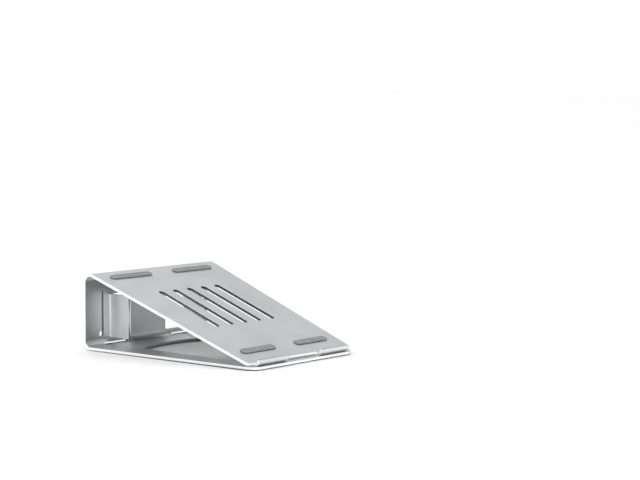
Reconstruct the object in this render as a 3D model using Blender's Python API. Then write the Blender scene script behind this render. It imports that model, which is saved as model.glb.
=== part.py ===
"""Laptop stand folded from one aluminium sheet, with silicone pads and feet.

The sheet lies flat on the table as a base plate, turns up into a vertical rear
panel, folds forward again as a sloping rest and ends in a low lip in front of
the laptop. Two ribs are cut out of the rear panel and folded forward.

Units are metres, +X is right, +Y is back and +Z is up. The origin is on the
table under the centre of the stand.
"""

import math

import bmesh
import bpy
from mathutils import Matrix, Vector

# Overall sizes
DEPTH = 0.2366
REAR_WIDTH = 0.193
FRONT_WIDTH = 0.165
SHEET = 0.003
REST_SLOPE = math.radians(19.4)

# Folds of the sheet, as radii on the inside of the bend
BEND_RADIUS = 0.007
LIP_RADIUS = 0.002
RIB_RADIUS = 0.003

# Front of the sheet
CORNER_RADIUS = 0.014
LIP_RISE = 0.0035
LIP_SETBACK = 0.0008
LIP_LENGTH = 0.146
NOTCH_WIDTH = 0.053
NOTCH_DEPTH = 0.008
NOTCH_RADIUS = 0.003

# Opening in the base plate
BASE_ARM = 0.0285
BASE_REAR_BAR = 0.041
BASE_ARCH_RISE = 0.015
BASE_FRONT_BAR = 0.045
BASE_OPENING_RADIUS = 0.010

# Cuts in the rear panel, measured in from its side edges and up from the table
RIB_INSET = 0.037
RIB_LENGTH = 0.029
RIB_BOTTOM = 0.0108
RIB_HEIGHT = 0.048
RIB_CORNER = 0.004
WINDOW_WIDTH = 0.032
WINDOW_RADIUS = 0.002
SLIT_INSET = 0.0258
SLIT_WIDTH = 0.0028
SLIT_BOTTOM = 0.0158
SLIT_HEIGHT = 0.047
RELIEF_RADIUS = 0.0031
RELIEF_SHIFT = 0.0017
BEND_SLOT_INSET = 0.026
BEND_SLOT_LENGTH = 0.036
BEND_SLOT_BOTTOM = 0.0043
BEND_SLOT_HEIGHT = 0.0020

# Ventilation slots in the rest
VENT_COUNT = 5
VENT_PITCH = 0.022
VENT_WIDTH = 0.008
VENT_LENGTH = 0.092
VENT_CENTRE = 0.128

# Silicone pads and feet
CLEARANCE = 0.0003
PAD_THICKNESS = 0.0009
PAD_WIDTH = 0.009
PAD_SIDE_INSET = 0.016
FRONT_PAD_LENGTH = 0.052
FRONT_PAD_PLACE = 0.030
REAR_PAD_LENGTH = 0.062
REAR_PAD_PLACE = 0.212
LIP_PAD_THICKNESS = 0.0008
LIP_PAD_HEIGHT = 0.0019
LIP_PAD_MARGIN = 0.003
LIP_PAD_ROUNDING = 0.00093
FOOT_RADIUS = 0.0075
FOOT_THICKNESS = 0.0006
FOOT_INSET = 0.0165
REAR_FOOT_PLACE = 0.0215
FRONT_FOOT_PLACE = 0.0315

# Fineness of the round parts
BEND_STEPS = 14
CORNER_STEPS = 12
CUTTER_REACH = 0.02
SHARP_ANGLE = math.radians(25)
MERGE_DISTANCE = 1e-7

# Places that follow from the sizes above
BASE_BOTTOM = FOOT_THICKNESS + CLEARANCE
BASE_TOP = BASE_BOTTOM + SHEET
OUTER_BEND = BEND_RADIUS + SHEET
LIP_OUTER_BEND = LIP_RADIUS + SHEET
FRONT_Y = -DEPTH / 2
REAR_Y = DEPTH / 2
REAR_INNER_Y = REAR_Y - SHEET
ALONG_REST = Vector((0, math.cos(REST_SLOPE), math.sin(REST_SLOPE)))
REST_NORMAL = Vector((0, -math.sin(REST_SLOPE), math.cos(REST_SLOPE)))
LIP_CENTRE = Vector((0, FRONT_Y + LIP_SETBACK + LIP_OUTER_BEND, BASE_TOP + CLEARANCE + LIP_OUTER_BEND))
LIP_TOP = LIP_CENTRE.z - LIP_RADIUS + LIP_RISE
REST_START = LIP_CENTRE - REST_NORMAL * LIP_RADIUS


def rest_height(y):
    """Height of the rest's upper face at a place along Y."""
    return REST_START.z + (y - REST_START.y) * math.tan(REST_SLOPE)


def top_bend_centre():
    """Centre of the bend between the rear panel and the rest."""
    y = REAR_Y - OUTER_BEND
    return Vector((0, y, rest_height(y) - OUTER_BEND / math.cos(REST_SLOPE)))


def half_width(y):
    """Half the width of the sheet, which tapers evenly from back to front."""
    share = (y - FRONT_Y) / DEPTH
    return (FRONT_WIDTH + (REAR_WIDTH - FRONT_WIDTH) * share) / 2


def clear_scene():
    for item in list(bpy.data.objects):
        bpy.data.objects.remove(item, do_unlink=True)


def arc(centre, radius, start, end, steps):
    """Points of an arc in a plane, from one angle in degrees to another."""
    points = []
    for step in range(steps + 1):
        angle = math.radians(start + (end - start) * step / steps)
        points.append((centre[0] + radius * math.cos(angle), centre[1] + radius * math.sin(angle)))
    return points


def rounded_rectangle(width, height, radius, steps=CORNER_STEPS):
    """Outline of a rectangle with round corners, centred on its origin."""
    across = width / 2 - radius
    up = height / 2 - radius
    corners = ((across, up, 0), (-across, up, 90), (-across, -up, 180), (across, -up, 270))
    outline = []
    for x, y, start in corners:
        outline += arc((x, y), radius, start, start + 90, steps)
    return outline


def without_repeats(outline):
    """Drop points that fall on the one before, which a full round end makes."""
    kept = []
    for point in outline:
        if not kept or math.dist(point, kept[-1]) > MERGE_DISTANCE:
            kept.append(point)
    if math.dist(kept[0], kept[-1]) < MERGE_DISTANCE:
        kept.pop()
    return kept


def prism(name, outline, placement, length):
    """Closed solid of an outline swept along the placement's third axis, from its middle."""
    mesh = bmesh.new()
    base = [mesh.verts.new(placement @ Vector((u, v, -length / 2))) for u, v in without_repeats(outline)]
    face = mesh.faces.new(base)
    swept = bmesh.ops.extrude_face_region(mesh, geom=[face])["geom"]
    moved = [item for item in swept if isinstance(item, bmesh.types.BMVert)]
    bmesh.ops.translate(mesh, verts=moved, vec=placement.to_3x3() @ Vector((0, 0, length)))
    bmesh.ops.recalc_face_normals(mesh, faces=mesh.faces)
    data = bpy.data.meshes.new(name)
    mesh.to_mesh(data)
    mesh.free()
    solid = bpy.data.objects.new(name, data)
    bpy.context.scene.collection.objects.link(solid)
    return solid


def facing_x(x=0.0):
    """Outlines drawn as Y and Z, swept along X."""
    axes = Matrix(((0, 0, 1), (1, 0, 0), (0, 1, 0))).to_4x4()
    return Matrix.Translation((x, 0, 0)) @ axes


def facing_y(place=(0, 0, 0)):
    """Outlines drawn as X and Z, swept along Y."""
    axes = Matrix(((1, 0, 0), (0, 0, 1), (0, 1, 0))).to_4x4()
    return Matrix.Translation(place) @ axes


def facing_z(place=(0, 0, 0)):
    """Outlines drawn as X and Y, swept along Z."""
    return Matrix.Translation(place)


def on_rest(x, along, above):
    """Outlines drawn across and along the rest, at a height above its upper face."""
    place = REST_START + ALONG_REST * (along - (REST_START.y - FRONT_Y)) / math.cos(REST_SLOPE)
    place += REST_NORMAL * above + Vector((x, 0, 0))
    return Matrix.Translation(place) @ Matrix.Rotation(REST_SLOPE, 4, "X")


def cut(solid, cutter, operation="DIFFERENCE"):
    """Apply one exact Boolean and keep its cutter out of the finished part."""
    cutter.hide_render = True
    cutter.display_type = "WIRE"
    step = solid.modifiers.new(cutter.name, "BOOLEAN")
    step.operation = operation
    step.solver = "EXACT"
    step.object = cutter


def bake(solid):
    """Turn the modifiers into mesh and shade the bends smooth between sharp edges."""
    graph = bpy.context.evaluated_depsgraph_get()
    mesh = bpy.data.meshes.new_from_object(solid.evaluated_get(graph))
    solid.modifiers.clear()
    solid.data = mesh
    mesh.shade_smooth()
    mesh.set_sharp_from_angle(angle=SHARP_ANGLE)


def finish_material(name, colour, roughness, metallic):
    material = bpy.data.materials.new(name)
    material.use_nodes = True
    shader = material.node_tree.nodes["Principled BSDF"]
    shader.inputs["Base Color"].default_value = (*colour, 1)
    shader.inputs["Roughness"].default_value = roughness
    shader.inputs["Metallic"].default_value = metallic
    return material


def sheet_section():
    """Side view of the folded sheet, as Y and Z."""
    top = top_bend_centre()
    low = (REAR_Y - OUTER_BEND, BASE_BOTTOM + OUTER_BEND)
    lip = (LIP_CENTRE.y, LIP_CENTRE.z)
    slope = math.degrees(REST_SLOPE)
    outside = [(FRONT_Y, BASE_BOTTOM)]
    outside += arc(low, OUTER_BEND, -90, 0, BEND_STEPS)
    outside += arc((top.y, top.z), OUTER_BEND, 0, 90 + slope, BEND_STEPS)
    outside += arc(lip, LIP_RADIUS, slope - 90, -180, BEND_STEPS)
    outside.append((lip[0] - LIP_RADIUS, LIP_TOP))
    inside = [(lip[0] - LIP_OUTER_BEND, LIP_TOP)]
    inside += arc(lip, LIP_OUTER_BEND, -180, slope - 90, BEND_STEPS)
    inside += arc((top.y, top.z), BEND_RADIUS, 90 + slope, 0, BEND_STEPS)
    inside += arc(low, BEND_RADIUS, 0, -90, BEND_STEPS)
    inside.append((FRONT_Y, BASE_TOP))
    return outside + inside


def sheet_outline():
    """Plan view of the sheet: straight tapering sides and round front corners."""
    taper = math.atan2((REAR_WIDTH - FRONT_WIDTH) / 2, DEPTH)
    y = FRONT_Y + CORNER_RADIUS
    x = half_width(y) - CORNER_RADIUS / math.cos(taper)
    turn = math.degrees(taper)
    outline = arc((x, y), CORNER_RADIUS, -90, -turn, CORNER_STEPS)
    outline += [(half_width(REAR_Y), REAR_Y), (-half_width(REAR_Y), REAR_Y)]
    outline += arc((-x, y), CORNER_RADIUS, -180 + turn, -90, CORNER_STEPS)
    return outline


def base_opening_outline():
    """Plan view of the opening in the base plate, with an arched rear edge."""
    front = FRONT_Y + BASE_FRONT_BAR
    side = half_width(0) - BASE_ARM
    rear = REAR_Y - BASE_REAR_BAR - BASE_ARCH_RISE
    arch_radius = (side ** 2 + BASE_ARCH_RISE ** 2) / (2 * BASE_ARCH_RISE)
    reach = math.degrees(math.asin(side / arch_radius))
    arch_centre = (0, rear + BASE_ARCH_RISE - arch_radius)
    across = side - BASE_OPENING_RADIUS
    corner_y = front + BASE_OPENING_RADIUS
    outline = arc((-across, corner_y), BASE_OPENING_RADIUS, 180, 270, CORNER_STEPS)
    outline += arc((across, corner_y), BASE_OPENING_RADIUS, 270, 360, CORNER_STEPS)
    outline += arc(arch_centre, arch_radius, 90 - reach, 90 + reach, 2 * CORNER_STEPS)
    return outline


def rib_outline(side):
    """Plan view of a rib and its bend, on the left (-1) or right (+1)."""
    face = REAR_WIDTH / 2 - RIB_INSET
    centre = (face + RIB_RADIUS, REAR_INNER_Y - RIB_RADIUS)
    outer = RIB_RADIUS + SHEET
    front = REAR_INNER_Y - RIB_LENGTH
    outline = [(centre[0] + SHEET, REAR_INNER_Y)]
    outline += arc(centre, RIB_RADIUS, 90, 180, BEND_STEPS)
    outline += [(face, front), (face - SHEET, front)]
    outline += arc(centre, outer, 180, 90, BEND_STEPS)
    outline.append((centre[0] + SHEET, REAR_Y))
    return [(side * x, y) for x, y in outline]


def make_rib(side, name):
    """Rib folded forward from the rear panel, with its free corner rounded."""
    rib = prism(name, rib_outline(side), facing_z((0, 0, RIB_BOTTOM + RIB_HEIGHT / 2)), RIB_HEIGHT)
    length = RIB_LENGTH + SHEET + CUTTER_REACH
    front = REAR_INNER_Y - RIB_LENGTH
    shape = arc((front + RIB_CORNER, RIB_BOTTOM + RIB_HEIGHT - RIB_CORNER), RIB_CORNER, 180, 90, CORNER_STEPS)
    shape += [(front + length, RIB_BOTTOM + RIB_HEIGHT), (front + length, RIB_BOTTOM - CUTTER_REACH)]
    shape += [(front, RIB_BOTTOM - CUTTER_REACH)]
    trim = prism(name + "_trim", shape, facing_x(side * (REAR_WIDTH / 2 - RIB_INSET)), CUTTER_REACH)
    cut(rib, trim, "INTERSECT")
    bake(rib)
    return rib


def cut_base(sheet):
    middle = BASE_BOTTOM + SHEET / 2
    cut(sheet, prism("cut_base_opening", base_opening_outline(), facing_z((0, 0, middle)), 2 * SHEET))


def cut_front(sheet):
    """Notch in the lip's middle, and the lip's square ends clear of the round corners."""
    bend_back = REST_START.y + LIP_OUTER_BEND * math.sin(REST_SLOPE)
    tall = 2 * CUTTER_REACH
    low = BASE_TOP + CLEARANCE / 2
    depth = NOTCH_DEPTH + CUTTER_REACH
    notch = rounded_rectangle(NOTCH_WIDTH, depth, NOTCH_RADIUS)
    place = (0, FRONT_Y + LIP_SETBACK + NOTCH_DEPTH - depth / 2, low + tall / 2)
    cut(sheet, prism("cut_notch", notch, facing_z(place), tall))
    for side, label in ((-1, "left"), (1, "right")):
        ahead = FRONT_Y - CUTTER_REACH
        end = [(0, ahead), (REAR_WIDTH, ahead), (REAR_WIDTH, bend_back), (0, bend_back)]
        end = [(side * (LIP_LENGTH / 2 + x), y) for x, y in end]
        cut(sheet, prism("cut_lip_end_" + label, end, facing_z((0, 0, low + tall / 2)), tall))


def cut_rear(sheet):
    """Windows that the ribs came from, the slits beside them and the slots in the lower bend."""
    for side, label in ((-1, "left"), (1, "right")):
        bend_start = REAR_WIDTH / 2 - RIB_INSET + RIB_RADIUS
        window_x = side * (bend_start - (WINDOW_WIDTH + RIB_RADIUS) / 2)
        window = rounded_rectangle(WINDOW_WIDTH + RIB_RADIUS, RIB_HEIGHT, WINDOW_RADIUS)
        place = (window_x, REAR_INNER_Y, RIB_BOTTOM + RIB_HEIGHT / 2)
        cut(sheet, prism("cut_window_" + label, window, facing_y(place), 3 * SHEET))

        slit_x = side * (REAR_WIDTH / 2 - SLIT_INSET)
        slit = rounded_rectangle(SLIT_WIDTH, SLIT_HEIGHT, SLIT_WIDTH / 2)
        place = (slit_x, REAR_INNER_Y, SLIT_BOTTOM + SLIT_HEIGHT / 2)
        cut(sheet, prism("cut_slit_" + label, slit, facing_y(place), 3 * SHEET))

        relief = arc((0, 0), RELIEF_RADIUS, 0, 360, 2 * CORNER_STEPS)
        place = (slit_x + side * RELIEF_SHIFT, REAR_INNER_Y, SLIT_BOTTOM)
        cut(sheet, prism("cut_relief_" + label, relief, facing_y(place), 3 * SHEET))

        slot = rounded_rectangle(BEND_SLOT_LENGTH, BEND_SLOT_HEIGHT, BEND_SLOT_HEIGHT / 2)
        slot_x = side * (REAR_WIDTH / 2 - BEND_SLOT_INSET - BEND_SLOT_LENGTH / 2)
        place = (slot_x, REAR_Y - OUTER_BEND / 2, BEND_SLOT_BOTTOM + BEND_SLOT_HEIGHT / 2)
        cut(sheet, prism("cut_bend_slot_" + label, slot, facing_y(place), 2 * OUTER_BEND))


def cut_vents(sheet):
    shape = rounded_rectangle(VENT_WIDTH, VENT_LENGTH, VENT_WIDTH / 2)
    for number in range(VENT_COUNT):
        x = (number - (VENT_COUNT - 1) / 2) * VENT_PITCH
        place = on_rest(x, VENT_CENTRE, -SHEET / 2)
        cut(sheet, prism("cut_vent_%d" % (number + 1), shape, place, 3 * SHEET))


def make_sheet(material):
    sheet = prism("stand_plate", sheet_section(), facing_x(), REAR_WIDTH + CUTTER_REACH)
    outline = prism("cut_outline", sheet_outline(), facing_z((0, 0, LIP_TOP)), 2 * DEPTH)
    cut(sheet, outline, "INTERSECT")
    cut_base(sheet)
    cut_front(sheet)
    cut_rear(sheet)
    cut_vents(sheet)
    for side, label in ((-1, "left"), (1, "right")):
        cut(sheet, make_rib(side, "fold_rib_" + label), "UNION")
    bake(sheet)
    sheet.data.materials.clear()
    sheet.data.materials.append(material)
    for face in sheet.data.polygons:
        face.material_index = 0


def make_piece(name, outline, placement, thickness, material):
    piece = prism(name, outline, placement, thickness)
    piece.data.shade_smooth()
    piece.data.set_sharp_from_angle(angle=SHARP_ANGLE)
    piece.data.materials.append(material)


def make_rest_pads(material):
    """Four strips on the rest that the laptop lies on, a near pair and a far pair."""
    above = CLEARANCE + PAD_THICKNESS / 2
    rows = (("front", FRONT_PAD_LENGTH, FRONT_PAD_PLACE), ("rear", REAR_PAD_LENGTH, REAR_PAD_PLACE))
    for row, length, along in rows:
        shape = rounded_rectangle(length, PAD_WIDTH, PAD_WIDTH / 2)
        for side, label in ((-1, "left"), (1, "right")):
            x = side * (half_width(FRONT_Y + along) - PAD_SIDE_INSET - length / 2)
            node = "rest_pad_%s_%s" % (row, label)
            make_piece(node, shape, on_rest(x, along, above), PAD_THICKNESS, material)


def make_lip_pads(material):
    """Thin strips behind the lip, one on each side of the notch."""
    length = (LIP_LENGTH - NOTCH_WIDTH) / 2 - 2 * LIP_PAD_MARGIN
    shape = rounded_rectangle(length, LIP_PAD_HEIGHT, LIP_PAD_ROUNDING)
    y = LIP_CENTRE.y - LIP_RADIUS + CLEARANCE + LIP_PAD_THICKNESS / 2
    z = LIP_TOP - LIP_PAD_HEIGHT / 2
    for side, label in ((-1, "left"), (1, "right")):
        x = side * (NOTCH_WIDTH / 2 + LIP_PAD_MARGIN + length / 2)
        make_piece("lip_pad_" + label, shape, facing_y((x, y, z)), LIP_PAD_THICKNESS, material)


def make_feet(material):
    """Four round feet under the base plate's corners."""
    shape = arc((0, 0), FOOT_RADIUS, 0, 360, 3 * CORNER_STEPS)
    for row, y in (("front", FRONT_Y + FRONT_FOOT_PLACE), ("rear", REAR_Y - REAR_FOOT_PLACE)):
        for side, label in ((-1, "left"), (1, "right")):
            x = side * (half_width(y) - FOOT_INSET)
            place = facing_z((x, y, FOOT_THICKNESS / 2))
            make_piece("foot_%s_%s" % (row, label), shape, place, FOOT_THICKNESS, material)


def main():
    clear_scene()
    aluminium = finish_material("satin_aluminium", (0.72, 0.73, 0.74), 0.36, 1.0)
    pad_rubber = finish_material("pad_silicone", (0.30, 0.31, 0.32), 0.62, 0.0)
    foot_rubber = finish_material("foot_silicone", (0.45, 0.46, 0.47), 0.58, 0.0)
    make_sheet(aluminium)
    make_rest_pads(pad_rubber)
    make_lip_pads(pad_rubber)
    make_feet(foot_rubber)


main()
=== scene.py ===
# %% [markdown]
# # A laptop stand folded from one aluminium sheet
# The real stand starts as a flat 3 mm sheet. A machine cuts its outline, its openings and its
# slits, a press folds it into a wedge, and the whole piece is blasted with fine beads and
# anodised. Silicone strips carry the laptop and four flat feet keep the stand off the table.
# The imported model gives the true sizes and places, so it is loaded first, and its box is kept.

# %% Load the imported model
import math

import bmesh
import bpy
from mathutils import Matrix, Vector


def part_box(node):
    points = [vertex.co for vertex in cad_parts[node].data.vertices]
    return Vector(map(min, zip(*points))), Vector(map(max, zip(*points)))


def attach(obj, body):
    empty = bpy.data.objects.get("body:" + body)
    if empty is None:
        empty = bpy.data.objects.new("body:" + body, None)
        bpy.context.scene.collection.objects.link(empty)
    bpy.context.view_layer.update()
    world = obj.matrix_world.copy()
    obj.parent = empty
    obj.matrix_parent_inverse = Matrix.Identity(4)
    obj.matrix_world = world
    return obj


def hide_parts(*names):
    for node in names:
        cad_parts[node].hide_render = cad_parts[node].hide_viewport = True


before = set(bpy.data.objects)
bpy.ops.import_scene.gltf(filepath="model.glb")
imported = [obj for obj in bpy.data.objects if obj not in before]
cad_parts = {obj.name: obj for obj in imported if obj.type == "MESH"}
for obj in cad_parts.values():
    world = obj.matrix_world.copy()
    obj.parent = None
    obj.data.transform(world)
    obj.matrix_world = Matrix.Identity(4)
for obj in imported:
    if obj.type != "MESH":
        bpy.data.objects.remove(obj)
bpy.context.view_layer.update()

print("packed pieces:", ", ".join(sorted(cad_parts)))

# %% [markdown]
# ## Sizes
# A folded sheet is fully described by few numbers: its thickness, the radius inside each fold,
# the slope of the rest, and the place of each cut. They are written here once, and every tool
# and every strip below takes its place from them. Depth, width and height come from the packed
# plate itself, so the two models can't drift apart.

# %% Sizes of the sheet and its folds
plate_low, plate_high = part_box("stand_plate")
FRONT_Y = plate_low.y
REAR_Y = plate_high.y
REAR_WIDTH = plate_high.x - plate_low.x
FRONT_WIDTH = 0.165
BASE_BOTTOM = plate_low.z
SHEET = 0.003
SLOPE = math.radians(19.4)
FOLD = 0.007
LIP_FOLD = 0.002
RIB_FOLD = 0.003
GAP = 0.0003
BASE_TOP = BASE_BOTTOM + SHEET
REAR_INNER_Y = REAR_Y - SHEET
plate_size = [round(1000 * (high - low), 1) for low, high in zip(plate_low, plate_high)]
print("plate, in mm:", plate_size)

# %% Sizes of the front edge
CORNER = 0.014
LIP_RISE = 0.0035
LIP_SETBACK = 0.0008
LIP_LENGTH = 0.146
NOTCH_WIDTH = 0.053
NOTCH_DEPTH = 0.008
NOTCH_CORNER = 0.003

# %% Sizes of the openings
BASE_ARM = 0.0285
BASE_REAR_BAR = 0.041
BASE_ARCH = 0.015
BASE_FRONT_BAR = 0.045
BASE_CORNER = 0.010
RIB_INSET = 0.037
RIB_LENGTH = 0.029
RIB_HEIGHT = 0.0479
RIB_CORNER = 0.004
WINDOW_WIDTH = 0.032
WINDOW_CORNER = 0.002
SLIT_INSET = 0.0258
SLIT_WIDTH = 0.0028
SLIT_BOTTOM = 0.0158
SLIT_HEIGHT = 0.047
RELIEF_RADIUS = 0.0031
RELIEF_SHIFT = 0.0017
FOLD_SLOT_INSET = 0.026
FOLD_SLOT_LENGTH = 0.036
FOLD_SLOT_BOTTOM = 0.0043
FOLD_SLOT_HEIGHT = 0.0020
VENTS = 5
VENT_PITCH = 0.022
VENT_WIDTH = 0.008
VENT_LENGTH = 0.092
VENT_CENTRE = 0.128

# %% Places that follow from the sizes
OUTER_FOLD = FOLD + SHEET
LIP_OUTER = LIP_FOLD + SHEET
RIB_BOTTOM = BASE_BOTTOM + OUTER_FOLD
along_rest = Vector((0, math.cos(SLOPE), math.sin(SLOPE)))
rest_normal = Vector((0, -math.sin(SLOPE), math.cos(SLOPE)))
lip_centre = Vector((0, FRONT_Y + LIP_SETBACK + LIP_OUTER, BASE_TOP + GAP + LIP_OUTER))
rest_start = lip_centre - rest_normal * LIP_FOLD
low_centre = Vector((0, REAR_Y - OUTER_FOLD, BASE_BOTTOM + OUTER_FOLD))
top_y = REAR_Y - OUTER_FOLD
top_z = rest_start.z + (top_y - rest_start.y) * math.tan(SLOPE) - OUTER_FOLD / math.cos(SLOPE)
top_centre = Vector((0, top_y, top_z))


def half_width(y):
    """Half the sheet's width, which tapers evenly from back to front."""
    share = (y - FRONT_Y) / (REAR_Y - FRONT_Y)
    return (FRONT_WIDTH + (REAR_WIDTH - FRONT_WIDTH) * share) / 2


def on_rest(x, along, above=0.0):
    """Point at a place across and along the rest, above its upper face."""
    run = (along - (rest_start.y - FRONT_Y)) / math.cos(SLOPE)
    return rest_start + along_rest * run + rest_normal * above + Vector((x, 0, 0))


print("top fold centre at y %.1f, z %.1f mm" % (1000 * top_centre.y, 1000 * top_centre.z))

# %% [markdown]
# ## Shader maths as plain expressions
# A finish is a small sum: colour, plus a little patchiness, plus fine grain. Nodes could be
# wired one by one, but sums are easier to read as sums. So one class wraps a socket and lets
# plus, minus and times add Math nodes. A second one adds any other node from its type, its
# settings and its inputs, and a third one knows the few nodes that every finish needs.

# %% A socket that can be reckoned with
class Amount:
    """A number or colour that varies over a surface. Arithmetic on a number adds Math nodes."""

    def __init__(self, nodes, socket):
        self.nodes = nodes
        self.socket = socket

    def reckon(self, operation, *values):
        return self.nodes.add("ShaderNodeMath", {"operation": operation}, dict(enumerate(values)))

    def __add__(self, other):
        return self.reckon("ADD", self, other)

    def __sub__(self, other):
        return self.reckon("SUBTRACT", self, other)

    def __mul__(self, other):
        return self.reckon("MULTIPLY", self, other)

    def __rsub__(self, other):
        return self.reckon("SUBTRACT", other, self)

    __radd__ = __add__
    __rmul__ = __mul__

    def __abs__(self):
        return self.reckon("ABSOLUTE", self)

    def band(self, low, high):
        """0 below low, 1 above high, smooth between."""
        settings = {"interpolation_type": "SMOOTHSTEP"}
        inputs = {"Value": self, "From Min": low, "From Max": high}
        return self.nodes.add("ShaderNodeMapRange", settings, inputs)


# %% A tree that nodes are added to
class Nodes:
    """A node tree, of a material or of the surroundings, with one way to add any node."""

    def __init__(self, tree):
        self.tree = tree

    def add(self, kind, settings, inputs, output=0):
        """Add a node of a kind, set it up, feed its inputs and return one output."""
        node = self.tree.nodes.new(kind)
        for name, value in settings.items():
            setattr(node, name, value)
        for name, value in inputs.items():
            self.feed(node.inputs[name], value)
        return Amount(self, node.outputs[output])

    def feed(self, socket, value):
        """Link an amount to a socket, or set a plain value on it."""
        if isinstance(value, Amount):
            self.tree.links.new(value.socket, socket)
        else:
            socket.default_value = value


# %% A finish that builds itself
MIX_COLOUR_FIRST, MIX_COLOUR_SECOND, MIX_COLOUR_RESULT = 6, 7, 2


class Finish(Nodes):
    """A procedural material around one Principled shader."""

    def __init__(self, name, **constants):
        self.material = bpy.data.materials.new(name)
        self.material.use_nodes = True
        super().__init__(self.material.node_tree)
        self.shader = self.tree.nodes["Principled BSDF"]
        for socket, value in constants.items():
            self.shader.inputs[socket.replace("_", " ")].default_value = value
        self.place = self.add("ShaderNodeTexCoord", {}, {}, "Object")

    def stretched(self, scale, turn=(0, 0, 0)):
        """Object coordinates, turned and stretched for a grain that has a direction."""
        inputs = {"Vector": self.place, "Rotation": turn, "Scale": scale}
        return self.add("ShaderNodeMapping", {}, inputs)

    def noise(self, size, detail=3.0, roughness=0.5, place=None):
        """Cloudy noise whose lumps are about as wide as size, in metres."""
        inputs = {"Vector": place or self.place, "Scale": 1 / size, "Detail": detail, "Roughness": roughness}
        return self.add("ShaderNodeTexNoise", {"noise_dimensions": "3D"}, inputs)

    def blend(self, share, first, second):
        """Mix two colours by a share from 0 to 1. A Mix node has its own sockets for colours."""
        inputs = {0: share, MIX_COLOUR_FIRST: first, MIX_COLOUR_SECOND: second}
        return self.add("ShaderNodeMix", {"data_type": "RGBA"}, inputs, MIX_COLOUR_RESULT)

    def bump(self, height, depth):
        """Turn a height from 0 to 1 into relief of that depth in metres."""
        normal = self.add("ShaderNodeBump", {}, {"Height": height, "Strength": 1.0, "Distance": depth})
        self.vary("Normal", normal)

    def vary(self, socket, value):
        """Let an input of the shader follow an amount."""
        self.feed(self.shader.inputs[socket], value)


# %% [markdown]
# ## Satin aluminium
# Bead blasting leaves fine dents a few tenths of a millimetre wide, and anodising seals them in
# a clear hard skin. From a distance that reads as an even silver satin, with faint clouds
# where the blasting was a little heavier and a trace of the rolling direction under it. A
# single roughness value would look like paint, so roughness, colour and relief all follow the
# same fine noise, and hairline scratches are laid over them in two directions.

# %% Make the satin finish
satin = Finish("satin_aluminium", Metallic=1.0)
clouds = satin.noise(0.045, detail=4.0)
beads = satin.noise(0.00045, detail=2.0, roughness=0.6)
rolled = satin.noise(0.0012, detail=3.0, place=satin.stretched((1.0, 0.04, 0.04)))


def hairlines(finish, turn, size=0.004):
    """Thin, sparse scratches: the crest of a noise stretched far along one direction."""
    stretched = finish.stretched((0.03, 1.0, 1.0), (0, 0, turn))
    crest = finish.noise(size, detail=1.0, place=stretched)
    thin = abs(crest - 0.5)
    sparse = finish.noise(0.03, detail=2.0).band(0.56, 0.66)
    return (1 - thin.band(0.0, 0.006)) * sparse


scratches = hairlines(satin, 0.5) + hairlines(satin, 2.2)
light_metal = (0.80, 0.81, 0.82, 1)
dark_metal = (0.70, 0.71, 0.725, 1)
patches = clouds.band(0.3, 0.7) * 0.6 + rolled * 0.4
satin.vary("Base Color", satin.blend(patches, dark_metal, light_metal))
satin.vary("Roughness", 0.30 + clouds * 0.07 + beads * 0.06 + rolled * 0.03 - scratches * 0.05)
satin.bump(beads * 0.8 + rolled * 0.35 - scratches * 0.6, 0.000035)
print("satin finish:", len(satin.tree.nodes), "nodes")

# %% [markdown]
# ## Bright cut edges
# The machine that trims the sheet runs along its edges after blasting, so they stay brighter
# and shinier than the faces and carry fine lines along the cut. The relief could be modelled,
# but the lines are thinner than a hair. So these edges get a finish of their own, with less
# roughness and a relief of thin lines stacked through the sheet's thickness.

# %% Make the cut-edge finish
bright = Finish("cut_edge_aluminium", Metallic=1.0)
passes = bright.noise(0.0003, detail=2.0, place=bright.stretched((0.05, 0.05, 1.0)))
dull = bright.noise(0.012, detail=3.0)
bright.vary("Base Color", bright.blend(dull.band(0.3, 0.7), (0.92, 0.925, 0.93, 1), (0.97, 0.972, 0.975, 1)))
bright.vary("Roughness", 0.14 + passes * 0.08 + dull * 0.06)
bright.bump(passes, 0.000015)
print("cut-edge finish:", len(bright.tree.nodes), "nodes")

# %% [markdown]
# ## Painted shade on the walls of the narrow cuts
# The slits and slots are too narrow for the tool that brightens the outer edges. Their walls keep
# the rough surface that a laser leaves, shown as stripes across the thickness in roughness and relief.
# Their colour is painted shade, a near-black metal in soft patches, as little light gets in between them.

# %% Make the painted-shade finish of the narrow cuts
shaded_wall = Finish("cut_wall_painted_shade", Metallic=1.0)
stripes = shaded_wall.noise(0.0004, detail=2.0, place=shaded_wall.stretched((1.0, 0.08, 1.0)))
wall_shade_patches = shaded_wall.noise(0.006, detail=3.0)
# Painted shade: the wall colour runs from 0.10 to 0.24 in soft patches, for the shade inside the narrow
# cuts.
shaded_wall.vary("Base Color", shaded_wall.blend(wall_shade_patches, (0.10, 0.10, 0.105, 1), (0.24, 0.24, 0.245, 1)))
shaded_wall.vary("Roughness", 0.52 + stripes * 0.2)
shaded_wall.bump(stripes, 0.00003)
print("narrow-cut finish:", len(shaded_wall.tree.nodes), "nodes")

# %% [markdown]
# ## Silicone
# Pads and feet are stamped from silicone sheet. It is matt, a little uneven where the mould was
# blasted, slightly paler where it has been rubbed, and it always holds some dust. Rubber does
# not mirror, so its roughness is high, with a weak clear-looking shine only at grazing angles,
# which the shader gives by itself.

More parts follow.
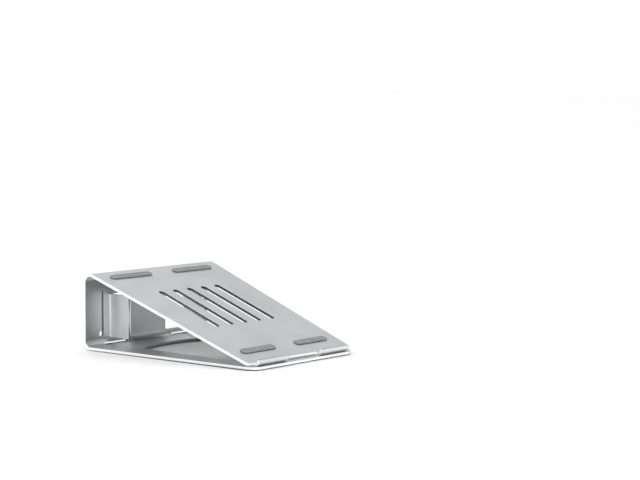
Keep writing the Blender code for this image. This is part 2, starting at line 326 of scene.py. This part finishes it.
# %% Make the two silicone finishes
def silicone(name, dark, pale, dusty):
    """Matt moulded silicone with rubbed patches and a little dust."""
    finish = Finish(name, Metallic=0.0, IOR=1.41)
    mould = finish.noise(0.0004, detail=3.0, roughness=0.65)
    rubbed = finish.noise(0.009, detail=4.0).band(0.48, 0.72)
    dust = finish.noise(0.0011, detail=1.0).band(0.68, 0.75) * finish.noise(0.02).band(0.4, 0.7)
    worn = finish.blend(rubbed * 0.7, dark, pale)
    finish.vary("Base Color", finish.blend(dust * 0.5, worn, dusty))
    finish.vary("Roughness", 0.52 + mould * 0.16 + dust * 0.12 - rubbed * 0.08)
    finish.bump(mould + dust * 0.4, 0.00006)
    print(name + ":", len(finish.tree.nodes), "nodes")
    return finish


pad_finish = silicone(
    "pad_silicone", dark=(0.23, 0.235, 0.245, 1), pale=(0.34, 0.345, 0.355, 1), dusty=(0.55, 0.54, 0.52, 1)
)
foot_finish = silicone(
    "foot_silicone", dark=(0.38, 0.385, 0.39, 1), pale=(0.50, 0.505, 0.51, 1), dusty=(0.62, 0.61, 0.59, 1)
)

# %% [markdown]
# ## Bench habits
# Blender's modelling operators act on whatever is selected, and loading a model leaves it
# selected. So a new piece always starts from an empty selection, and edges and faces are chosen
# in code by where they are or where they point. These few helpers hold those habits.

# %% Start, choose and settle
def only(piece):
    """Make one object the only selected and the active one, in object mode."""
    if bpy.context.object and bpy.context.object.mode != "OBJECT":
        bpy.ops.object.mode_set(mode="OBJECT")
    bpy.ops.object.select_all(action="DESELECT")
    piece.select_set(True)
    bpy.context.view_layer.objects.active = piece


def settle(piece):
    """Put the object's place, turn and size into its mesh."""
    only(piece)
    bpy.ops.object.transform_apply(location=True, rotation=True, scale=True)
    return piece


def choose(piece, kind, test):
    """In edit mode, select the piece's edges or faces that pass a test, and count them."""
    if piece.mode != "EDIT":
        only(piece)
        bpy.ops.object.mode_set(mode="EDIT")
    bpy.ops.mesh.select_mode(type=kind)
    bpy.ops.mesh.select_all(action="DESELECT")
    mesh = bmesh.from_edit_mesh(piece.data)
    mesh.normal_update()
    chosen = [item for item in (mesh.edges if kind == "EDGE" else mesh.faces) if test(item)]
    for item in chosen:
        item.select_set(True)
    mesh.select_flush_mode()
    bmesh.update_edit_mesh(piece.data)
    return len(chosen)


def middle(edge):
    """The point halfway along an edge."""
    return (edge.verts[0].co + edge.verts[1].co) / 2


def runs_along(edge, axis):
    """Whether an edge runs along X (0), Y (1) or Z (2)."""
    way = (edge.verts[1].co - edge.verts[0].co).normalized()
    return abs(way[axis]) > 0.9


# %% Blocks and rounding
def block(name, size, place=(0, 0, 0)):
    """A box of a size in a place, ready to be shaped."""
    bpy.ops.object.select_all(action="DESELECT")
    bpy.ops.mesh.primitive_cube_add(size=1, location=place)
    piece = bpy.context.object
    piece.name = name
    piece.scale = size
    return settle(piece)


def round_edges(piece, radius, steps, test):
    """Round the edges that pass a test, as a file or a cutter would."""
    count = choose(piece, "EDGE", test)
    bpy.ops.mesh.bevel(offset=radius, segments=steps, profile=0.5, affect="EDGES")
    bpy.ops.object.mode_set(mode="OBJECT")
    return count


# %% Round ends
FULL_ROUND = 0.4995
TIP_GAP = 0.00002


def round_ends(piece, width, steps, axis):
    """Round a strip's ends fully. The two arcs stop a hair short of the tip and are merged there."""
    round_edges(piece, width * FULL_ROUND, steps, lambda e: runs_along(e, axis))
    choose(piece, "FACE", lambda face: True)
    bpy.ops.mesh.remove_doubles(threshold=TIP_GAP)
    bpy.ops.object.mode_set(mode="OBJECT")


# %% Material slots of every metal piece and tool
METALS = (satin, bright, shaded_wall)
SATIN, BRIGHT, SHADED_WALL = range(len(METALS))


def give_metals(piece):
    """Give a piece the three metal finishes, in an order that its faces can name."""
    piece.data.materials.clear()
    for metal in METALS:
        piece.data.materials.append(metal.material)


# %% Cutting and joining
def apply(piece, modifier):
    """Make a modifier's result the piece's own mesh."""
    only(piece)
    bpy.ops.object.modifier_apply(modifier=modifier.name)


def carve(piece, tool, operation="DIFFERENCE", finish=SATIN):
    """Cut a piece with a tool. The walls that the tool leaves take one of the three finishes."""
    give_metals(tool)
    for face in tool.data.polygons:
        face.material_index = finish
    step = piece.modifiers.new("carve", "BOOLEAN")
    step.operation = operation
    step.solver = "EXACT"
    step.object = tool
    apply(piece, step)
    bpy.data.objects.remove(tool)


def copy_of(piece, name):
    """A copy of a piece with its own mesh."""
    twin = piece.copy()
    twin.data = piece.data.copy()
    twin.name = name
    bpy.context.scene.collection.objects.link(twin)
    return twin


# %% [markdown]
# ## Folding the sheet
# In the press the flat sheet is bent over three bars. The same moves make it here: one small
# face, as wide as the sheet and as thick, is pushed along the table, turned about each bend's
# centre and pushed on, and it leaves the folded sheet behind it. Extrude and spin keep the wall
# exactly 3 mm thick all the way round the bends, which bending a finished plate would not.

# %% Push and turn the section
def push(way):
    """Push the section straight on and leave a wall behind it."""
    bpy.ops.mesh.extrude_region_move(TRANSFORM_OT_translate={"value": way})


def turn_about(centre, angle, steps, axis=(1, 0, 0)):
    """Sweep the section round a centre. Spin counts its angle the other way round the axis."""
    bpy.ops.mesh.spin(steps=steps, angle=-angle, center=centre, axis=axis)


def chosen_middle(piece):
    """Where the selected faces are now."""
    mesh = bmesh.from_edit_mesh(piece.data)
    corners = [vert.co for vert in mesh.verts if vert.select]
    return sum(corners, Vector()) / len(corners)


# %% Start with the section, a little wider than the sheet and in front of it
SPARE = 0.002
SAME_POINT = 0.000001
start = (0, FRONT_Y - SPARE, BASE_BOTTOM + SHEET / 2)
bpy.ops.object.select_all(action="DESELECT")
bpy.ops.mesh.primitive_plane_add(size=1, location=start, rotation=(math.radians(90), 0, 0))
sheet = bpy.context.object
sheet.name = "folded_sheet"
sheet.scale = (REAR_WIDTH + 2 * SPARE, SHEET, 1)
settle(sheet)
bpy.ops.object.mode_set(mode="EDIT")
bpy.ops.mesh.select_mode(type="FACE")
bpy.ops.mesh.select_all(action="SELECT")
print("section starts at:", [round(1000 * c, 1) for c in chosen_middle(sheet)])

# %% Base plate, rear panel, rest and lip
push((0, low_centre.y - start[1], 0))
turn_about(low_centre, math.radians(90), 18)
print("after the lower fold:", [round(1000 * c, 1) for c in chosen_middle(sheet)])
push((0, 0, top_centre.z - low_centre.z))
turn_about(top_centre, math.radians(90) + SLOPE, 22)
print("after the upper fold:", [round(1000 * c, 1) for c in chosen_middle(sheet)])
push(rest_start - (top_centre + rest_normal * OUTER_FOLD))
turn_about(lip_centre, -(math.radians(90) + SLOPE), 16)
push((0, 0, LIP_RISE - LIP_FOLD))
print("top of the lip:", [round(1000 * c, 1) for c in chosen_middle(sheet)])

# %% Close up the sheet and give it its finishes
bpy.ops.mesh.select_all(action="SELECT")
bpy.ops.mesh.remove_doubles(threshold=SAME_POINT)
bpy.ops.mesh.normals_make_consistent(inside=False)
bpy.ops.object.mode_set(mode="OBJECT")
give_metals(sheet)
for face in sheet.data.polygons:
    at_lip_top = face.normal.z > 0.99 and face.center.y < FRONT_Y + LIP_OUTER
    face.material_index = BRIGHT if at_lip_top and face.center.z > lip_centre.z else SATIN
print("folded sheet:", len(sheet.data.polygons), "faces")

# %% [markdown]
# ## Outline
# Seen from above the sheet tapers to the front and ends in two round corners. The tool is a tall
# block with its front face drawn narrower and its two front edges rounded. What lies inside it
# is kept, so one cut gives the base plate and the rest above it the same sides.

# %% Trim the sides and the front corners
behind = REAR_Y + SPARE
size = (2 * half_width(behind), behind - FRONT_Y, 0.3)
outline = block("outline", size, (0, (behind + FRONT_Y) / 2, 0.1))
choose(outline, "FACE", lambda face: face.normal.y < -0.9)
narrower = half_width(FRONT_Y) / half_width(behind)
bpy.ops.transform.resize(value=(narrower, 1, 1), center_override=(0, FRONT_Y, 0))
bpy.ops.object.mode_set(mode="OBJECT")
rounded = round_edges(outline, CORNER, 16, lambda e: runs_along(e, 2) and middle(e).y < FRONT_Y + SPARE)
carve(sheet, outline, "INTERSECT", BRIGHT)
print("front corners rounded:", rounded, "- width now %.1f mm" % (1000 * sheet.dimensions.x))

# %% [markdown]
# ## Opening in the base plate
# Most of the base plate is cut away to save weight, which leaves a frame. Its rear edge is a
# shallow arch. A block alone would give a straight edge, so the block is first cut to the part
# that it shares with a large disc, and the disc's rim makes the arch.

# %% Cut the opening with its arched rear edge
opening_half = half_width(0) - BASE_ARM
opening_front = FRONT_Y + BASE_FRONT_BAR
arch_top = REAR_Y - BASE_REAR_BAR
arch_radius = (opening_half ** 2 + BASE_ARCH ** 2) / (2 * BASE_ARCH)
opening_middle = (opening_front + arch_top + SPARE) / 2
size = (2 * opening_half, arch_top + SPARE - opening_front, 2 * SHEET)
opening = block("base_opening", size, (0, opening_middle, BASE_BOTTOM + SHEET / 2))
round_edges(opening, BASE_CORNER, 12, lambda e: runs_along(e, 2) and middle(e).y < 0)
bpy.ops.object.select_all(action="DESELECT")
bpy.ops.mesh.primitive_cylinder_add(
    vertices=256, radius=arch_radius, depth=4 * SHEET, location=(0, arch_top - arch_radius, BASE_BOTTOM)
)
carve(opening, settle(bpy.context.object), "INTERSECT")
carve(sheet, opening)
print("opening %.0f x %.0f mm, arch radius %.0f mm" % (1000 * size[0], 1000 * size[1], 1000 * arch_radius))

# %% [markdown]
# ## Front lip
# The lip stops the laptop from sliding off. It is shorter than the front edge, so its ends are
# squared off clear of the round corners, and a notch in its middle leaves room for a finger to
# lift the laptop's lid. The notch runs back past the fold, where the sheet's cut edge shows.

# %% Notch and square ends
cut_low = BASE_TOP + GAP / 2
TALL = 0.04
lip_back = rest_start.y + LIP_OUTER * math.sin(SLOPE)
notch_back = FRONT_Y + LIP_SETBACK + NOTCH_DEPTH
notch_front = FRONT_Y - 0.02
size = (NOTCH_WIDTH, notch_back - notch_front, TALL)
notch = block("notch", size, (0, (notch_back + notch_front) / 2, cut_low + TALL / 2))
round_edges(notch, NOTCH_CORNER, 8, lambda e: runs_along(e, 2) and middle(e).y > FRONT_Y)
carve(sheet, notch, finish=BRIGHT)
for side in (-1, 1):
    x = side * (LIP_LENGTH / 2 + REAR_WIDTH / 2)
    size = (REAR_WIDTH, lip_back - notch_front, TALL)
    end = block("lip_end", size, (x, (lip_back + notch_front) / 2, cut_low + TALL / 2))
    carve(sheet, end, finish=BRIGHT)
print("lip %.0f mm long, notch %.0f mm wide" % (1000 * LIP_LENGTH, 1000 * NOTCH_WIDTH))

# %% [markdown]
# ## Rear panel
# Each side of the rear panel has a window, whose metal was folded forward as a rib, a thin slit
# beside it that ends in a round relief hole, and a long slot along the lower fold that lets the
# corner bend cleanly. All are cut straight through from the back, on both sides alike.

# %% Windows, slits, relief holes and fold slots
def slot_tool(name, size, place):
    """A block with fully round ends, upright or lying, that cuts a slot from the back."""
    tool = block(name, size, place)
    round_ends(tool, min(size[0], size[2]), 6, 1)
    return tool


THROUGH = 3 * SHEET
for side in (-1, 1):
    window_size = (WINDOW_WIDTH + RIB_FOLD, THROUGH, RIB_HEIGHT)
    window_x = side * (REAR_WIDTH / 2 - RIB_INSET + RIB_FOLD - window_size[0] / 2)
    window_at = (window_x, REAR_INNER_Y, RIB_BOTTOM + RIB_HEIGHT / 2)
    window = block("window", window_size, window_at)
    round_edges(window, WINDOW_CORNER, 5, lambda e: runs_along(e, 1))
    carve(sheet, window)
    slit_x = side * (REAR_WIDTH / 2 - SLIT_INSET)
    slit_at = (slit_x, REAR_INNER_Y, SLIT_BOTTOM + SLIT_HEIGHT / 2)
    carve(sheet, slot_tool("slit", (SLIT_WIDTH, THROUGH, SLIT_HEIGHT), slit_at), finish=SHADED_WALL)
    bpy.ops.object.select_all(action="DESELECT")
    relief_at = (slit_x + side * RELIEF_SHIFT, REAR_INNER_Y, SLIT_BOTTOM)
    quarter_turn = (math.radians(90), 0, 0)
    bpy.ops.mesh.primitive_cylinder_add(
        vertices=32, radius=RELIEF_RADIUS, depth=THROUGH, location=relief_at, rotation=quarter_turn
    )
    carve(sheet, settle(bpy.context.object), finish=SHADED_WALL)
    slot_x = side * (REAR_WIDTH / 2 - FOLD_SLOT_INSET - FOLD_SLOT_LENGTH / 2)
    slot_at = (slot_x, REAR_Y - OUTER_FOLD / 2, FOLD_SLOT_BOTTOM + FOLD_SLOT_HEIGHT / 2)
    slot_size = (FOLD_SLOT_LENGTH, 2 * OUTER_FOLD, FOLD_SLOT_HEIGHT)
    carve(sheet, slot_tool("fold_slot", slot_size, slot_at), finish=SHADED_WALL)
print("rear panel cut:", len(sheet.data.polygons), "faces")

# %% [markdown]
# ## Ventilation slots
# Warm air leaves the laptop through five long slots in the rest. One tool is shaped and turned to
# the rest's slope, and the others are copies of it, side by side.

# %% Cut the ventilation slots
first = block("vent", (VENT_WIDTH, VENT_LENGTH, THROUGH))
round_ends(first, VENT_WIDTH, 10, 2)
first.rotation_euler.x = SLOPE
first.location = on_rest(0, VENT_CENTRE, -SHEET / 2)
settle(first)
for number in range(VENTS):
    vent = copy_of(first, "vent_%d" % number)
    vent.location.x = (number - (VENTS - 1) / 2) * VENT_PITCH
    carve(sheet, settle(vent), finish=SHADED_WALL)
bpy.data.objects.remove(first)
print("slots:", VENTS, "of %.0f x %.0f mm" % (1000 * VENT_WIDTH, 1000 * VENT_LENGTH))

# %% [markdown]
# ## Ribs
# A rib is the metal from its window, still joined along one upright edge and folded forward 90
# degrees. It stiffens the panel against the laptop's weight. It is made as the sheet was: a face
# pushed, turned about the bend's centre and pushed on. The other rib is its mirror image, so
# its normals are made consistent again before it is joined to the panel.

# %% Fold one rib and mirror the other
rib_x = REAR_WIDTH / 2 - RIB_INSET + RIB_FOLD
rib_y = REAR_INNER_Y - RIB_FOLD
rib_start = (rib_x + SHEET, REAR_INNER_Y + SHEET / 2, RIB_BOTTOM + RIB_HEIGHT / 2)
bpy.ops.object.select_all(action="DESELECT")
bpy.ops.mesh.primitive_plane_add(size=1, location=rib_start, rotation=(0, math.radians(90), 0))
rib = bpy.context.object
rib.name = "rib_right"
rib.scale = (RIB_HEIGHT, SHEET, 1)
settle(rib)
bpy.ops.object.mode_set(mode="EDIT")
bpy.ops.mesh.select_mode(type="FACE")
bpy.ops.mesh.select_all(action="SELECT")
push((-SHEET, 0, 0))
turn_about((rib_x, rib_y, 0), math.radians(90), 10, axis=(0, 0, 1))
push((0, RIB_FOLD - RIB_LENGTH, 0))
print("front end of the rib:", [round(1000 * c, 1) for c in chosen_middle(rib)])
bpy.ops.mesh.select_all(action="SELECT")
bpy.ops.mesh.normals_make_consistent(inside=False)
bpy.ops.object.mode_set(mode="OBJECT")
rib_front = REAR_INNER_Y - RIB_LENGTH
rib_top = RIB_BOTTOM + RIB_HEIGHT
NEAR = 0.0001


def free_corner(edge):
    """Whether an edge is the rib's upper front corner, which no fold holds."""
    place = middle(edge)
    return runs_along(edge, 0) and place.y < rib_front + NEAR and place.z > rib_top - NEAR


print("rib corners rounded:", round_edges(rib, RIB_CORNER, 10, free_corner))

# %% Finish the ribs' cut edges and join them
give_metals(rib)
for face in rib.data.polygons:
    at_front = face.normal.y < -0.9 and face.center.y < rib_front + RIB_CORNER / 4
    face.material_index = BRIGHT if at_front else SATIN
mirrored = copy_of(rib, "rib_left")
mirrored.scale.x = -1
settle(mirrored)
bpy.ops.object.mode_set(mode="EDIT")
bpy.ops.mesh.select_all(action="SELECT")
bpy.ops.mesh.normals_make_consistent(inside=False)
bpy.ops.object.mode_set(mode="OBJECT")
for piece in (rib, mirrored):
    step = sheet.modifiers.new("join_rib", "BOOLEAN")
    step.operation = "UNION"
    step.solver = "EXACT"
    step.object = piece
    apply(sheet, step)
    bpy.data.objects.remove(piece)
print("sheet with ribs:", len(sheet.data.polygons), "faces")

# %% [markdown]
# ## Broken edges
# No real sheet has razor edges: a cutter takes off a few tenths of a millimetre all round, and
# that thin facet catches the light as a bright line. A Bevel modifier can find sharp edges by
# their angle, but the cutter doesn't reach into the narrow cuts of the rear panel. So the
# edges that it does reach are chosen here and marked with a bevel weight, and the modifier
# works by that weight. It takes each new facet's finish from the faces beside it and leaves
# the broad faces flat in shading.

# %% Merge the points that the cuts left almost in one place
MERGE = 0.000002
FLAT = math.radians(0.2)
choose(sheet, "FACE", lambda face: True)
bpy.ops.mesh.remove_doubles(threshold=MERGE)
bpy.ops.mesh.dissolve_limited(angle_limit=FLAT, delimit={"MATERIAL"})
bpy.ops.object.mode_set(mode="OBJECT")
print("sheet to be finished:", len(sheet.data.polygons), "faces")


# %% Mark the edges that the cutter reaches
def reachable(edge):
    """Whether an edge is sharp and not at one of the narrow cuts through the rear panel."""
    narrow = any(face.material_index == SHADED_WALL for face in edge.link_faces)
    sharp = edge.calc_face_angle(0) > math.radians(40)
    return sharp and not (narrow and middle(edge).y > REAR_Y - OUTER_FOLD)


count = choose(sheet, "EDGE", reachable)
mesh = bmesh.from_edit_mesh(sheet.data)
weight = mesh.edges.layers.float.new("bevel_weight_edge")
for edge in mesh.edges:
    edge[weight] = 1.0 if edge.select else 0.0
bmesh.update_edit_mesh(sheet.data)
bpy.ops.object.mode_set(mode="OBJECT")
print("edges to break:", count)

# %% Break them and smooth the folds
EDGE_BREAK = 0.00032
SMOOTH_BELOW = math.radians(30)
only(sheet)
bpy.ops.object.shade_smooth_by_angle(angle=SMOOTH_BELOW)
broken = sheet.modifiers.new("broken_edges", "BEVEL")
broken.width = EDGE_BREAK
broken.segments = 2
broken.limit_method = "WEIGHT"
broken.use_clamp_overlap = False
broken.harden_normals = True
apply(sheet, broken)
print("finished sheet:", len(sheet.data.polygons), "faces")

# %% Hang the sheet on the frame
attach(sheet, "root")
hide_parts("stand_plate")

# %% [markdown]
# ## Pads on the rest
# Four flat strips of silicone with round ends are glued to the rest, two near the lip and two
# near the top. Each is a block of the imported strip's size with its ends rounded. Its upper face
# is inset and let down a little, which leaves the raised rim that such strips have, and then
# all its edges are softened. A Weighted Normal modifier then lets the broad faces set the
# shading, so the strip looks flat and only its soft edges turn.

# %% Soft edges
def soften(piece, width, harden=False):
    """Smooth a piece's curves and round its edges. If harden is set, hardened normals keep its flat faces
    flat.
    """
    only(piece)
    bpy.ops.object.shade_smooth_by_angle(angle=SMOOTH_BELOW)
    soft = piece.modifiers.new("soft_edges", "BEVEL")
    soft.width = width
    soft.segments = 2
    soft.limit_method = "ANGLE"
    soft.angle_limit = SMOOTH_BELOW
    soft.harden_normals = harden
    apply(piece, soft)


# %% A strip of silicone
EDGE_SHARE = 0.45


def strip(name, length, width, thickness, rim, dish):
    """A flat strip with round ends, a low rim and soft edges, lying at the origin."""
    piece = block(name, (length, width, thickness))
    round_ends(piece, width, 8, 2)
    choose(piece, "FACE", lambda face: face.normal.z > 0.9)
    bpy.ops.mesh.inset(thickness=rim, depth=0)
    bpy.ops.mesh.inset(thickness=dish, depth=-dish)
    bpy.ops.object.mode_set(mode="OBJECT")
    soften(piece, EDGE_SHARE * dish)
    even = piece.modifiers.new("even_shading", "WEIGHTED_NORMAL")
    even.weight = 100
    even.keep_sharp = True
    apply(piece, even)
    return piece


# %% Join a strip or a foot to the frame
def hang(piece, finish, node):
    """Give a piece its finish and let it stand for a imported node."""
    piece.data.materials.clear()
    piece.data.materials.append(finish.material)
    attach(piece, "root")
    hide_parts(node)


# %% Lay the four pads on the rest
PAD_THICKNESS = 0.0009
PAD_WIDTH = 0.009
PAD_SIDE = 0.016
PAD_RIM = 0.0011
PAD_DISH = 0.00014
for row, length, along in (("front", 0.052, 0.030), ("rear", 0.062, 0.212)):
    for side, label in ((-1, "left"), (1, "right")):
        pad = strip("pad_%s_%s" % (row, label), length, PAD_WIDTH, PAD_THICKNESS, PAD_RIM, PAD_DISH)
        x = side * (half_width(FRONT_Y + along) - PAD_SIDE - length / 2)
        pad.rotation_euler.x = SLOPE
        pad.location = on_rest(x, along, GAP + PAD_THICKNESS / 2)
        settle(pad)
        hang(pad, pad_finish, "rest_pad_%s_%s" % (row, label))
        print(pad.name, len(pad.data.polygons), "faces")

# %% [markdown]
# ## Pads behind the lip
# A narrow strip on each side of the notch keeps the laptop's front edge off the metal. It is
# the same kind of strip, stood on its long side against the lip.

# %% Stand the two lip pads
LIP_PAD_THICKNESS = 0.0008
LIP_PAD_HEIGHT = 0.0019
LIP_PAD_MARGIN = 0.003
LIP_PAD_RIM = 0.0003
LIP_PAD_DISH = 0.00008
lip_top = lip_centre.z - LIP_FOLD + LIP_RISE
length = (LIP_LENGTH - NOTCH_WIDTH) / 2 - 2 * LIP_PAD_MARGIN
for side, label in ((-1, "left"), (1, "right")):
    pad = strip("stop_" + label, length, LIP_PAD_HEIGHT, LIP_PAD_THICKNESS, LIP_PAD_RIM, LIP_PAD_DISH)
    pad.rotation_euler.x = math.radians(-90)
    y = lip_centre.y - LIP_FOLD + GAP + LIP_PAD_THICKNESS / 2
    pad.location = (side * (NOTCH_WIDTH / 2 + LIP_PAD_MARGIN + length / 2), y, lip_top - LIP_PAD_HEIGHT / 2)
    settle(pad)
    hang(pad, pad_finish, "lip_pad_" + label)
    print(pad.name, "%.0f mm long" % (1000 * length))

# %% [markdown]
# ## Feet
# Four thin silicone discs under the corners keep the metal off the table. Each is turned from a
# disc: its lower face is inset and raised to leave a ring that grips, with a small round
# pip in the middle from the mould, and its rim is softened.

# %% Model one foot
FOOT_RADIUS = 0.0075
FOOT_THICKNESS = 0.0006
FOOT_RIM = 0.0019
FOOT_HOLLOW = 0.0002
FOOT_TO_PIP = 0.0038
FOOT_PIP = 0.0001
FOOT_EDGE = 0.00008
bpy.ops.object.select_all(action="DESELECT")
bpy.ops.mesh.primitive_cylinder_add(vertices=64, radius=FOOT_RADIUS, depth=FOOT_THICKNESS)
model_foot = settle(bpy.context.object)
choose(model_foot, "FACE", lambda face: face.normal.z < -0.9)
bpy.ops.mesh.inset(thickness=FOOT_RIM, depth=0)
bpy.ops.mesh.inset(thickness=FOOT_HOLLOW, depth=-FOOT_HOLLOW)
bpy.ops.mesh.inset(thickness=FOOT_TO_PIP, depth=0)
bpy.ops.mesh.inset(thickness=FOOT_PIP, depth=FOOT_PIP)
bpy.ops.object.mode_set(mode="OBJECT")
soften(model_foot, FOOT_EDGE, harden=True)
print("foot:", len(model_foot.data.polygons), "faces")

# %% Place the four feet
for row in ("front", "rear"):
    for label in ("left", "right"):
        node = "foot_%s_%s" % (row, label)
        low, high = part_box(node)
        foot = copy_of(model_foot, "disc_%s_%s" % (row, label))
        foot.location = (low + high) / 2
        settle(foot)
        hang(foot, foot_finish, node)
bpy.data.objects.remove(model_foot)
print("feet placed")

# %% [markdown]
# ## Table
# The stand is shown alone on a plain white table. Satin metal has no look of its own: it shows
# what surrounds it, so a table that is white all round would make every inner face white too. A
# studio lays a dark card where the metal should look dark. Here painted shade does this without a
# card: the Light Path node tells when a ray comes from a reflection, and only such a ray finds
# the table painted near black under the stand and beyond it, and bright in front and at its left
# side. The camera always sees the white table, and the stand's own finishes know nothing of this.

# %% Lay the table
TABLE_WIDTH = 60
bpy.ops.object.select_all(action="DESELECT")
bpy.ops.mesh.primitive_plane_add(size=TABLE_WIDTH, location=(0, 0, 0))
table = bpy.context.object
table.name = "table"

# %% Give it its two tones
def grey(tone):
    """A colour without a tint."""
    return (tone, tone, tone, 1)


table_finish = Finish("white_table", Roughness=0.6)
seen = table_finish.blend(table_finish.noise(0.4, detail=2.0), grey(0.90), grey(0.92))
table_x = table_finish.add("ShaderNodeSeparateXYZ", {}, {"Vector": table_finish.place}, "X")
table_y = table_finish.add("ShaderNodeSeparateXYZ", {}, {"Vector": table_finish.place}, "Y")
# Painted shade: to reflected rays only, the table is 0.08 grey behind y = -0.105 m and right of x = -0.085
# m.
behind_front = table_y.band(-0.125, -0.105)
right_of_side = table_x.band(-0.10, -0.085)
painted_shade_in_reflections = table_finish.blend(behind_front * right_of_side, grey(0.95), grey(0.08))
in_metal = table_finish.add("ShaderNodeLightPath", {}, {}, "Is Glossy Ray")
table_finish.vary("Base Color", table_finish.blend(in_metal, seen, painted_shade_in_reflections))
table.data.materials.append(table_finish.material)
print("table:", len(table_finish.tree.nodes), "nodes")

# %% [markdown]
# ## Light
# A product on white is lit from nearly everywhere. A sun with a very wide disc is the cheapest
# such light: it has no hard shadow, and it gives the rest its even tone. One large panel above
# and one at the left add the soft bright lines along the folds.

# %% Panels and daylight
def panel(name, place, aim, size, power):
    """A soft light panel that faces a point."""
    data = bpy.data.lights.new(name, "AREA")
    data.shape = "RECTANGLE"
    data.size, data.size_y = size
    data.energy = power
    light = bpy.data.objects.new(name, data)
    bpy.context.scene.collection.objects.link(light)
    light.location = place
    light.rotation_euler = (Vector(aim) - Vector(place)).to_track_quat("-Z", "Y").to_euler()
    return light


panel("overhead", (-0.5, 0.9, 1.9), (0, 0, 0.04), (1.8, 1.0), 6)
panel("left_side", (-2.2, 0.4, 0.9), (0, 0, 0.05), (1.2, 1.0), 2)
day = bpy.data.lights.new("day", "SUN")
day.energy = 1.15
day.angle = math.radians(120)
daylight = bpy.data.objects.new("day", day)
bpy.context.scene.collection.objects.link(daylight)
daylight.rotation_euler = [math.radians(angle) for angle in (-18, -22, 0)]
print("lights:", ", ".join(item.name for item in bpy.data.lights))

# %% [markdown]
# ## Surroundings
# The air round the stand is white to the camera, so the table runs into it without a line. It
# lights the table a little less, and the metal reflects it as a light grey, which gives each
# fold a gradient from light to dark.

# %% Light the surroundings
SEEN_STRENGTH = 1.0
LIGHT_STRENGTH = 0.84
REFLECTED_STRENGTH = 0.60
world = bpy.data.worlds.new("studio")
bpy.context.scene.world = world
world.use_nodes = True
air = Nodes(world.node_tree)
sky = air.tree.nodes["Background"]
sky.inputs["Color"].default_value = grey(1)
to_camera = air.add("ShaderNodeLightPath", {}, {}, "Is Camera Ray")
to_metal = air.add("ShaderNodeLightPath", {}, {}, "Is Glossy Ray")
unseen = LIGHT_STRENGTH - to_metal * (LIGHT_STRENGTH - REFLECTED_STRENGTH)
air.feed(sky.inputs["Strength"], unseen + to_camera * (SEEN_STRENGTH - unseen))
bpy.context.scene.view_settings.view_transform = "Standard"
print("surroundings:", len(air.tree.nodes), "nodes")

# %% [markdown]
# ## Camera
# A long lens from low in front and well to the left keeps the stand's lines nearly parallel. It
# looks past the stand, which leaves the room that a laptop and a keyboard would take.

# %% Camera
camera_data = bpy.data.cameras.new("camera")
camera_data.lens = 102.907
camera_data.sensor_width = 36
camera = bpy.data.objects.new("camera", camera_data)
bpy.context.scene.collection.objects.link(camera)
camera.location = (-1.452493, -1.344626, 0.298293)
camera.rotation_euler = [math.radians(angle) for angle in (84.918, -0.369, -50.206)]
bpy.context.scene.camera = camera
print("camera %.2f m from the stand" % camera.location.length)
